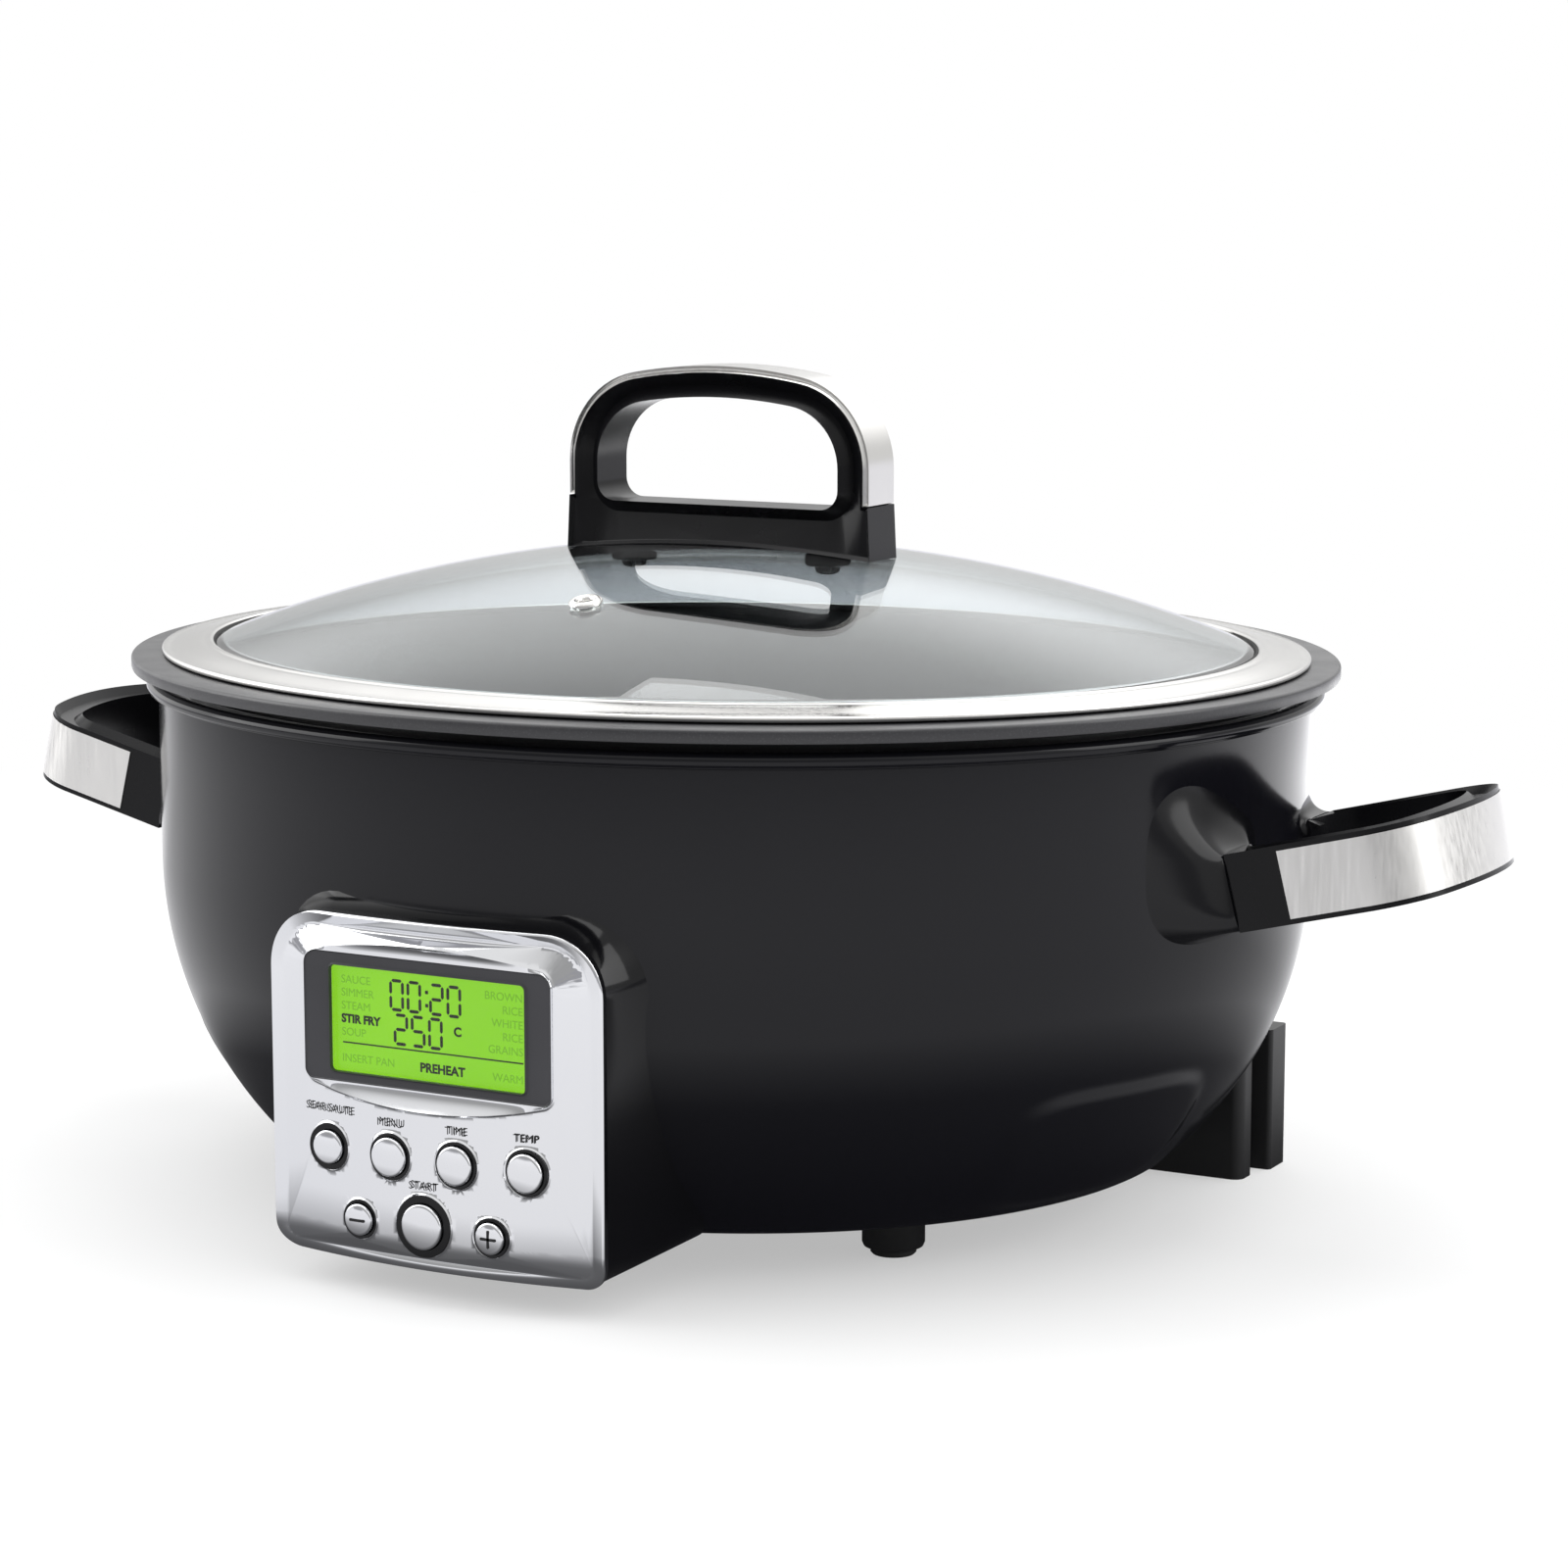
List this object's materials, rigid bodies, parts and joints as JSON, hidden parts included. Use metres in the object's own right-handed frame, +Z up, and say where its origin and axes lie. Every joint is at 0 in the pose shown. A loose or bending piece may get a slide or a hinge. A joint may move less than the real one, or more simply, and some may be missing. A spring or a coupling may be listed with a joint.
{
  "type": "slow cooker",
  "caption": "Oval electric slow cooker with a lift-out coated pan, domed glass lid, two loop handles and a chrome control pod with a lit display and push buttons.",
  "frame": {"origin": "on the table, under the middle of the whole cooker", "axes": "+Z up, +X along the long axis of the oval to the user's right, -Y towards the user, where the control pod is"},
  "size_m": [0.496, 0.3502, 0.253],
  "materials": {
    "shell_enamel": "gloss black enamel on pressed steel",
    "liner_steel": "aluminised steel",
    "glass_fibre": "needled glass fibre",
    "cast_aluminium": "machined casting",
    "element_steel": "heat-tinted steel",
    "thermal_fuse": "silicone sleeve",
    "black_plastic": "fine moulded texture",
    "rubber": "matte black rubber",
    "phenolic": "satin black heat-proof resin",
    "polished_steel": "polished stainless steel",
    "screw_steel": "zinc-plated steel",
    "gloss_black": "gloss black moulding",
    "chrome": "chrome-plated moulding",
    "display_grey": "satin dark grey",
    "display_clear": "clear window",
    "display_green": "back-lit green display",
    "board_green": "solder-masked board",
    "component_black": "moulded component",
    "pan_coating": "matte dark grey ceramic non-stick coating",
    "lid_glass": "clear tempered glass"
  },
  "bodies": {
    "base": {"outer_shell": "shell_enamel", "rim_ring": "shell_enamel", "heat_liner": "liner_steel", "insulation_blanket": "glass_fibre", "heater_plate": "cast_aluminium", "heating_element": "element_steel", "plate_posts": "element_steel", "thermal_fuse": "thermal_fuse", "sensor_cup": "black_plastic", "base_cover": "black_plastic", "base_screws": "screw_steel", "base_posts": "black_plastic", "front_feet": "black_plastic", "foot_treads": "rubber", "left_rear_leg": "black_plastic", "right_rear_leg": "black_plastic", "cord_gland": "black_plastic", "left_handle_bosses": "phenolic", "right_handle_bosses": "phenolic", "left_side_handle": "phenolic", "left_handle_strap": "polished_steel", "right_side_handle": "phenolic", "right_handle_strap": "polished_steel", "side_handle_screws": "screw_steel", "pod_housing": "gloss_black", "pod_bezel": "chrome", "display_frame": "display_grey", "display_lens": "display_clear", "lcd_module": "display_green", "control_board": "board_green", "tact_switches": "component_black", "power_board": "board_green", "relay": "component_black", "board_screws": "screw_steel", "button_rings": "black_plastic", "sensor_spring": "element_steel"},
    "pan": {"pan": "pan_coating"},
    "lid": {"lid_glass": "lid_glass", "lid_ring": "polished_steel", "lid_gasket": "rubber", "vent_grommet": "polished_steel", "lid_handle": "phenolic", "lid_handle_band": "polished_steel", "handle_seals": "rubber", "lid_screws": "screw_steel"},
    "sensor": {"sensor_plunger": "element_steel"},
    "key_sear": {"button_sear": "chrome"},
    "key_menu": {"button_menu": "chrome"},
    "key_time": {"button_time": "chrome"},
    "key_temp": {"button_temp": "chrome"},
    "key_minus": {"button_minus": "chrome"},
    "key_start": {"button_start": "chrome"},
    "key_plus": {"button_plus": "chrome"}
  },
  "joints": [
    {"name": "pan_lift", "type": "slide", "parent": "base", "child": "pan", "axis": [0, 0, 1], "range_m": [0, 0.15]},
    {"name": "lid_lift", "type": "slide", "parent": "pan", "child": "lid", "axis": [0, 0, 1], "range_m": [0, 0.12]},
    {"name": "sensor_press", "type": "slide", "parent": "base", "child": "sensor", "axis": [0, 0, -1], "range_m": [0, 0.0025], "stiffness_N_per_m": 900, "springref_m": -0.002, "deforming": ["sensor_spring"]},
    {"name": "sear_press", "type": "slide", "parent": "base", "child": "key_sear", "axis": [0, 1, 0], "range_m": [0, 0.0012], "stiffness_N_per_m": 1500},
    {"name": "menu_press", "type": "slide", "parent": "base", "child": "key_menu", "axis": [0, 1, 0], "range_m": [0, 0.0012], "stiffness_N_per_m": 1500},
    {"name": "time_press", "type": "slide", "parent": "base", "child": "key_time", "axis": [0, 1, 0], "range_m": [0, 0.0012], "stiffness_N_per_m": 1500},
    {"name": "temp_press", "type": "slide", "parent": "base", "child": "key_temp", "axis": [0, 1, 0], "range_m": [0, 0.0012], "stiffness_N_per_m": 1500},
    {"name": "minus_press", "type": "slide", "parent": "base", "child": "key_minus", "axis": [0, 1, 0], "range_m": [0, 0.0012], "stiffness_N_per_m": 1500},
    {"name": "start_press", "type": "slide", "parent": "base", "child": "key_start", "axis": [0, 1, 0], "range_m": [0, 0.0012], "stiffness_N_per_m": 1500},
    {"name": "plus_press", "type": "slide", "parent": "base", "child": "key_plus", "axis": [0, 1, 0], "range_m": [0, 0.0012], "stiffness_N_per_m": 1500}
  ]
}
